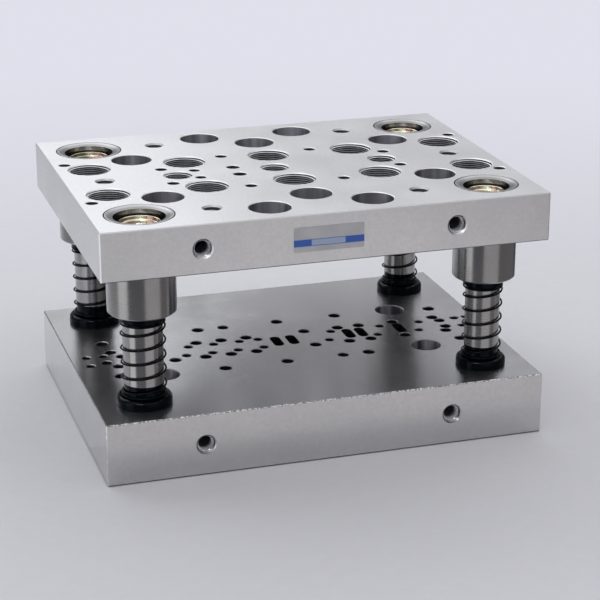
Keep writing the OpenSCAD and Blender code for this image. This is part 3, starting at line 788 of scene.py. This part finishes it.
def nameplate_finish(name):
    """Satin foil with a blue band and a bare, paler field in it."""
    material, tree, shader, place = start_finish(name, 0.0, IOR=1.5)
    size = PLATE_NAME_HIGH - PLATE_NAME_LOW
    across, _, up = split(tree, place)
    share_x = maths(tree, "DIVIDE", maths(tree, "SUBTRACT", across, PLATE_NAME_LOW.x), size.x)
    share_z = maths(tree, "DIVIDE", maths(tree, "SUBTRACT", up, PLATE_NAME_LOW.z), size.z)
    band = within(tree, share_z, *BAND_HEIGHTS)
    field = maths(tree, "MULTIPLY", within(tree, share_x, *FIELD_ENDS), within(tree, share_z, *FIELD_HEIGHTS))
    grain = place_group(tree, GRAIN, Place=place, Stretch=(160, 5000, 5000), Patch=60.0)
    marks = place_group(tree, MARKS, Place=place, Smear_Scale=120.0, Scratch_Scale=140.0)
    silver = mix_colours(tree, spread(tree, grain["Patches"], 0.3, 0.7), PLATE_SILVER, (0.50, 0.51, 0.54, 1))
    banded = mix_colours(tree, band, silver, BAND_BLUE)
    feed(tree, mix_colours(tree, field, banded, FIELD_PALE), shader["Base Color"])
    feed(tree, maths(tree, "MULTIPLY", maths(tree, "SUBTRACT", 1.0, band), 0.75), shader["Metallic"])
    feed(tree, maths(tree, "ADD", 0.34, maths(tree, "MULTIPLY", marks["Smear"], 0.1)), shader["Roughness"])
    grained = maths(tree, "MULTIPLY", grain["Grain"], 0.15)
    printed = maths(tree, "ADD", maths(tree, "MULTIPLY", band, 0.5), grained)
    raise_bump(tree, shader, printed, 0.02 * MM)
    return material


# hole axes as (x, y) in millimetres, each mirrored about both middles
PLUG_AXES = ((135.5, 33.5), (64.5, 33.5), (0, 33.5))
SHANK_AXES = ((77.5, 0), (5, 0))
CLAMP_AXES = ((75, 86), (131, 0))
BORED_AXES = ((37, 96), (0, 72), (100.5, 50.5))
REAMED_AXES = ((100.5, 40.5),)


def walls_at(axes, radius):
    """Places for near_axes that take in the walls of some holes."""
    return [(x * MM, y * MM, radius * MM) for x, y in axes]


THREADED_WALLS = walls_at(PLUG_AXES, 15.25) + walls_at(SHANK_AXES, 10.25)
CLAMP_WALLS = walls_at(CLAMP_AXES, 7.6)
BORED_WALLS = walls_at(BORED_AXES, 15)
REAMED_WALLS = walls_at(REAMED_AXES, 11.3)

FINISHES = {
    "lower_plate_steel": ground_plate_finish(
        "ground_steel_lower", LOWER_LOW, LOWER_HIGH, tone=0.62, rough=0.22, anisotropic=0.7,
        edge_tone=0.22, nick_reach=0.85 * MM, nicks_from=0.43,
        mouth_tone=0.42, mouth_tones=[],
        # the dark wall tone is painted shade in the holes
        wall_tone=0.05, wall_tones=[(REAMED_WALLS, 0.88)], wall_rough=0.34, streaks=0.75),
    "upper_plate_steel": ground_plate_finish(
        "ground_steel_upper", UPPER_LOW, UPPER_HIGH, tone=0.82, rough=0.38, anisotropic=0.5,
        edge_tone=0.6, nick_reach=0.7 * MM, nicks_from=0.68,
        mouth_tone=0.8, mouth_tones=[(CLAMP_WALLS, 0.5)],
        # these wall tones, all darker than the face, are painted shade in the holes
        wall_tone=0.12, wall_tones=[(THREADED_WALLS, 0.02), (CLAMP_WALLS, 0.14), (BORED_WALLS, 0.56)],
        wall_rough=0.36, streaks=0.5),
    "nameplate_print": nameplate_finish("printed_foil"),
    "post_steel": ground_round_finish("ground_post_steel", tone=0.38, rough=0.19, anisotropic=0.5),
    "bush_steel": ground_round_finish("ground_bush_steel", tone=0.345, rough=0.2, anisotropic=0.5),
    "collar_black": black_oxide_finish("oiled_black_collar", rough=0.06, level=0.0016),
    "ring_black": black_oxide_finish("oiled_black_ring", rough=0.08, level=0.0016),
    "spring_black": black_oxide_finish("oiled_black_wire", rough=0.22, level=0.003),
    "cage_brass": brass_finish(
        "machined_brass", base=(0.66, 0.50, 0.26, 1), tint=(0.74, 0.60, 0.34, 1),
        bloom=(0.52, 0.38, 0.20, 1), rough=0.26, cloud=220.0),
    "cap_brass": brass_finish(
        "yellow_passivated", base=(0.86, 0.82, 0.66, 1), tint=(0.74, 0.60, 0.50, 1),
        # the dark green-brown bloom: partly the passivation's own colours, partly painted reflection of the
        # dark bore
        bloom=(0.30, 0.33, 0.22, 1), rough=0.14, cloud=110.0),
    "ball_steel": bright_part_finish("polished_ball_steel", tone=0.72, rough=0.05),
    "screw_steel": bright_part_finish("bright_zinc_screw", tone=0.85, rough=0.2),
}
THREAD_STEEL = cut_thread_finish("cut_thread_steel", tone=0.9, rough=0.45, shade=all_but_upper_flanks)
LIFTING_THREAD_STEEL = cut_thread_finish("thread_steel_with_painted_shade", tone=0.8, rough=0.3, shade=deep_in_side)


def finish_cad_nodes():
    for part in frame["record"]["subparts"]:
        node = frame["nodes"][part["node"]]
        node.data.materials.clear()
        node.data.materials.append(FINISHES[part["material_slot"]])


finish_cad_nodes()


# ---- Threads ----

UPPER_MIDDLE = (UPPER_LOW.z + UPPER_HIGH.z) / 2
LOWER_MIDDLE = (LOWER_LOW.z + LOWER_HIGH.z) / 2

# through the upper plate: name, diameter, pitch, turns, rings per turn, places in millimetres
THROUGH_THREADS = (
    ("plug_thread", 30, 1.5, 22, 40,
     at_corners(135.5, 33.5) + at_corners(64.5, 33.5) + [(0, -33.5), (0, 33.5)]),
    ("shank_thread", 20, 1.5, 22, 36, [(-77.5, 0), (77.5, 0), (-5, 0)]),
    ("clamp_thread", 12, 1.75, 17, 28, at_corners(75, 86) + [(-131, 0), (131, 0)]),
)
LIFTING_DIAMETER = 12 * MM
LIFTING_PITCH = 1.75 * MM
LIFTING_TURNS = 12
LIFTING_RINGS_PER_TURN = 28
LIFTING_MOUTH = 2.4 * MM
LIFTING_FRONT_X = 90.5 * MM
LIFTING_REAR_X = 92 * MM


def make_through_threads():
    for stem, diameter, pitch, turns, rings_per_turn, places in THROUGH_THREADS:
        model = thread_ridge(stem + "_model", diameter * MM, pitch * MM, turns, rings_per_turn)
        start = UPPER_MIDDLE - pitch * MM * turns / 2
        placed = [((x * MM, y * MM, start), (0, 0, 0)) for x, y in places]
        fit_threads(model, stem, "upper", THREAD_STEEL, placed)


def make_lifting_threads():
    """Threads of the lifting holes, which run inward from the front and the back."""
    inner_end = LIFTING_MOUTH + LIFTING_TURNS * LIFTING_PITCH
    inward_from_front = (math.pi / 2, 0, 0)
    inward_from_back = (-math.pi / 2, 0, 0)
    for body, slot, height in (("lower", "lower_plate_steel", LOWER_MIDDLE),
                               ("upper", "upper_plate_steel", UPPER_MIDDLE)):
        places = [((x, LOWER_LOW.y + inner_end, height), inward_from_front)
                  for x in (-LIFTING_FRONT_X, LIFTING_FRONT_X)]
        places += [((x, LOWER_HIGH.y - inner_end, height), inward_from_back)
                   for x in (-LIFTING_REAR_X, LIFTING_REAR_X)]
        model = thread_ridge("lifting_thread_model", LIFTING_DIAMETER, LIFTING_PITCH, LIFTING_TURNS,
                             LIFTING_RINGS_PER_TURN)
        fit_threads(model, body + "_lifting_thread", body, LIFTING_THREAD_STEEL, places)


make_through_threads()
make_lifting_threads()
for station in STATIONS:
    wind_spring(station, FINISHES["spring_black"])


# ---- Studio ----

ROOM_LEVEL = 0.29
ROOM_COLOUR = (0.74, 0.745, 0.83, 1)     # what the eye sees far off
PAPER_FADES_FROM = 0.22                  # metres from the middle, over which the paper fades into it
PAPER_FADED_AT = 1.2
FIBRE_SCALE = 90.0
SHADED_SHARE = 0.965
LIGHTS_AIM = Vector((0, 0, 0.1))
CAMERA_SENSOR = 36                       # millimetres
CAMERA_LENS = 112.94
CAMERA_PLACE = (-0.3822, -1.2709, 0.5496)
CAMERA_DOWN = 19.581                     # degrees below level
CAMERA_RIGHT = 17.324                    # degrees to the right of straight back


def paper_finish(name, colour):
    """Matt paper with a trace of fibre, which pales towards the room as the eye sees it."""
    material, tree, shader, place = start_finish(name, 0.0, Roughness=0.9, Specular_IOR_Level=0.0)
    fibre = noise(tree, place, FIBRE_SCALE, 5.0, 0.8)
    shaded = tuple(level * SHADED_SHARE for level in colour[:3]) + (1,)
    feed(tree, mix_colours(tree, spread(tree, fibre, 0.3, 0.7), colour, shaded), shader["Base Color"])
    away = add_node(tree, "ShaderNodeVectorMath", operation="LENGTH")
    feed(tree, place, away.inputs[0])
    reach = spread(tree, away.outputs["Value"], PAPER_FADES_FROM, PAPER_FADED_AT, smooth=True)
    seen = maths(tree, "MULTIPLY", reach, add_node(tree, "ShaderNodeLightPath").outputs["Is Camera Ray"])
    distance = add_node(tree, "ShaderNodeEmission")
    distance.inputs["Color"].default_value = ROOM_COLOUR
    blend = add_node(tree, "ShaderNodeMixShader")
    feed(tree, seen, blend.inputs[0])
    feed(tree, tree.nodes["Principled BSDF"].outputs[0], blend.inputs[1])
    feed(tree, distance.outputs[0], blend.inputs[2])
    feed(tree, blend.outputs[0], tree.nodes["Material Output"].inputs["Surface"])
    return material


def lay_paper(name, centre, size, finish, only_in_metal=False):
    """A sheet of the floor: a wide one for the eye, or a narrow one that only the steel shows."""
    deselect_everything()
    bpy.ops.mesh.primitive_plane_add(size=1, location=centre)
    sheet = bpy.context.object
    sheet.name = sheet.data.name = name
    sheet.scale = (*size, 1)
    settle(sheet)
    sheet.data.materials.append(finish)
    sheet.visible_glossy = only_in_metal
    sheet.visible_camera = sheet.visible_diffuse = sheet.visible_shadow = not only_in_metal


def card_finish(name, level):
    material = bpy.data.materials.new(name)
    material.use_nodes = True
    shader = material.node_tree.nodes["Principled BSDF"].inputs
    shader["Base Color"].default_value = (0, 0, 0, 1)
    shader["Specular IOR Level"].default_value = 0
    shader["Emission Color"].default_value = (*level, 1)
    shader["Emission Strength"].default_value = 1
    return material


def stand_card(name, start, end, low, high, level):
    """An upright studio card between two floor points, seen only in the steel."""
    deselect_everything()
    start, end = Vector((*start, 0)), Vector((*end, 0))
    run = end - start
    bpy.ops.mesh.primitive_plane_add(
        size=1,
        location=((start.x + end.x) / 2, (start.y + end.y) / 2, (low + high) / 2),
        rotation=(math.pi / 2, 0, math.atan2(run.y, run.x)),
    )
    card = bpy.context.object
    card.name = card.data.name = name
    card.scale = (run.length, high - low, 1)
    settle(card)
    card.data.materials.append(card_finish(name, level))
    card.visible_camera = card.visible_diffuse = card.visible_shadow = False


def hang_light(name, place, size, power, colour, only_in_gloss=False):
    """A soft box that faces the die set."""
    lamp = bpy.data.lights.new(name, "AREA")
    lamp.shape = "RECTANGLE"
    lamp.size, lamp.size_y = size
    lamp.energy = power
    lamp.color = colour
    holder = bpy.data.objects.new(name, lamp)
    bpy.context.scene.collection.objects.link(holder)
    holder.location = place
    holder.rotation_euler = (Vector(place) - LIGHTS_AIM).to_track_quat("Z", "Y").to_euler()
    holder.visible_camera = False
    holder.visible_diffuse = not only_in_gloss


def light_room(level):
    world = bpy.data.worlds.new("studio")
    bpy.context.scene.world = world
    world.use_nodes = True
    tree = world.node_tree
    background = tree.nodes["Background"]
    rays = add_node(tree, "ShaderNodeLightPath").outputs
    room = mix_colours(tree, rays["Is Camera Ray"], grey(level, 0.04), ROOM_COLOUR)
    feed(tree, room, background.inputs["Color"])


def set_camera():
    lens = bpy.data.cameras.new("camera")
    lens.sensor_width = CAMERA_SENSOR
    lens.lens = CAMERA_LENS
    holder = bpy.data.objects.new("camera", lens)
    bpy.context.scene.collection.objects.link(holder)
    holder.location = CAMERA_PLACE
    holder.rotation_euler = (math.radians(90 - CAMERA_DOWN), 0, math.radians(-CAMERA_RIGHT))
    bpy.context.scene.camera = holder


PAPER = paper_finish("lavender_grey_paper", (0.765, 0.765, 0.79, 1))
PALE_PAPER = paper_finish("pale_lavender_paper", (0.86, 0.86, 0.89, 1))

# name, middle and size in metres, finish
METAL_PAPERS = (
    ("metal_paper_front", (0.06, -0.11, -0.1 * MM), (0.6, 0.12), PAPER),
    ("metal_paper_middle", (0.10, 1.015, -0.1 * MM), (0.52, 2.13), PAPER),
    ("metal_paper_left", (-0.295, 1.125, -0.1 * MM), (0.27, 2.35), PALE_PAPER),
)
# name, the two floor points a card stands between, its low and high edge, colour
CARDS = (
    ("left_bright_card", (-1.07, -0.02), (-1.07, -0.66), -0.6, 2.2, (1.1, 1.1, 1.12)),
    ("far_left_card", (-1.07, 1.6), (-1.07, 0.0), -0.6, 0.0, (0.40, 0.40, 0.42)),
    ("camera_side_dark_card", (-1.07, -0.75), (-0.147, -0.728), -0.5, 0.8, (0.19, 0.19, 0.21)),
    ("front_card", (-0.14, -0.728), (0.42, -0.554), -0.5, 0.1, (0.66, 0.64, 0.655)),
    ("right_dark_card", (0.425, -0.554), (1.1, 0.3), -0.6, 0.7, (0.24, 0.225, 0.235)),
    ("back_right_dark_card", (1.1, 0.3), (1.1, 1.0), -0.6, 0.5, (0.1, 0.105, 0.12)),
    ("low_back_card", (0.03, 0.36), (0.5, 0.36), 0, 0.13, (0.72, 0.72, 0.756)),
)
# name, place, size, watts, colour
LIGHTS = (
    ("overhead_softbox", (0.25, 0.05, 1.7), (3.1, 2.7), 23.4, (0.97, 0.975, 1)),
    ("back_left_softbox", (-0.62, 1.6, 1.45), (2.55, 0.9), 12, (0.93, 0.945, 1)),
    ("back_right_softbox", (1.2, 1.6, 1.45), (1.2, 0.9), 1.0, (0.93, 0.945, 1)),
)
lay_paper("wide_paper", (0, 0, -0.3 * MM), (14, 14), PAPER)
for sheet in METAL_PAPERS:
    lay_paper(*sheet, only_in_metal=True)
light_room(ROOM_LEVEL)
for card in CARDS:
    stand_card(*card)
for light in LIGHTS:
    hang_light(*light)
hang_light("front_left_softbox", (-0.8, -0.95, 1.3), (0.6, 1.0), 8, (1, 1, 1), only_in_gloss=True)
set_camera()
bpy.context.scene.view_settings.view_transform = "Standard"
